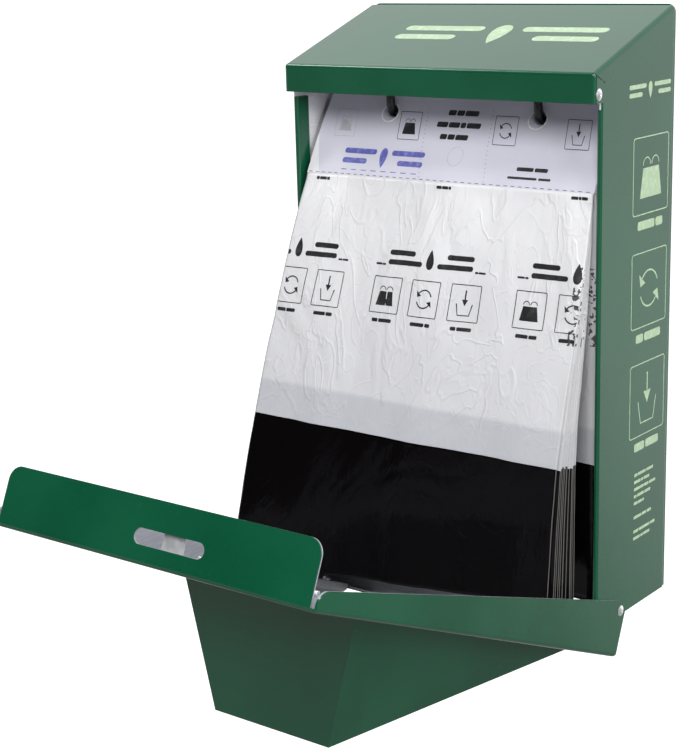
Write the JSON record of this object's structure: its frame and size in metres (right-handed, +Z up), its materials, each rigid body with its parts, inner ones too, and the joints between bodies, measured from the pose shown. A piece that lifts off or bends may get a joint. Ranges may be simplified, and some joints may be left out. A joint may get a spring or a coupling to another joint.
{
  "type": "dog waste mitt dispenser",
  "caption": "Wall-mounted sheet-metal dispenser for dog waste bags: a case with a sloped roof, a hinged front cover with a hooded mouth, and a pack of bags hung on two rods.",
  "frame": {"origin": "centre of the four mounting holes, on the back panel's outer face", "axes": "+Z up, +Y into the wall, +X to the viewer's right; the front faces -Y"},
  "size_m": [0.2806, 0.4387, 0.4789],
  "materials": {
    "green_powder_coat": "fine-textured satin powder coat on sheet aluminium, bare inside",
    "rivet_aluminium": "bright satin",
    "zinc_steel": "bright zinc",
    "spring_steel": "satin",
    "black_steel": "semi-gloss black",
    "white_nylon": "matte",
    "header_card": "smooth coated card",
    "mitt_film": "soft glossy film, translucent white above and black below"
  },
  "bodies": {
    "case": {"case_shell": "green_powder_coat", "back_panel": "green_powder_coat", "back_rivets": "rivet_aluminium", "ear_rivets": "rivet_aluminium", "hanger_bracket": "zinc_steel", "bracket_rivets": "rivet_aluminium", "right_hanger_rod": "black_steel", "left_hanger_rod": "black_steel", "hanger_nuts": "zinc_steel", "pivot_rivets": "rivet_aluminium", "pivot_washers": "white_nylon", "latch_bracket": "zinc_steel", "latch_rivets": "rivet_aluminium", "header_cards": "header_card", "rear_mitts": "mitt_film", "fanned_mitts": "mitt_film", "front_mitt": "mitt_film"},
    "cover": {"cover_panel": "green_powder_coat", "cover_hood": "green_powder_coat", "hood_rivets": "rivet_aluminium", "latch_keeper": "zinc_steel"},
    "latch": {"latch_leaf": "spring_steel"}
  },
  "joints": [
    {"name": "cover_hinge", "type": "hinge", "parent": "case", "child": "cover", "pos_m": [0, -0.07666, -0.22], "axis": [-1, 0, 0], "range_deg": [0, 66], "deforming": ["header_cards", "rear_mitts", "fanned_mitts", "front_mitt", "latch_leaf"]},
    {"name": "latch_flex", "type": "hinge", "parent": "case", "child": "latch", "pos_m": [0.0175, -0.054, 0.168], "axis": [-1, 0, 0], "range_deg": [0, 6], "stiffness_Nm_per_rad": 0.6, "deforming": ["latch_leaf"]}
  ]
}
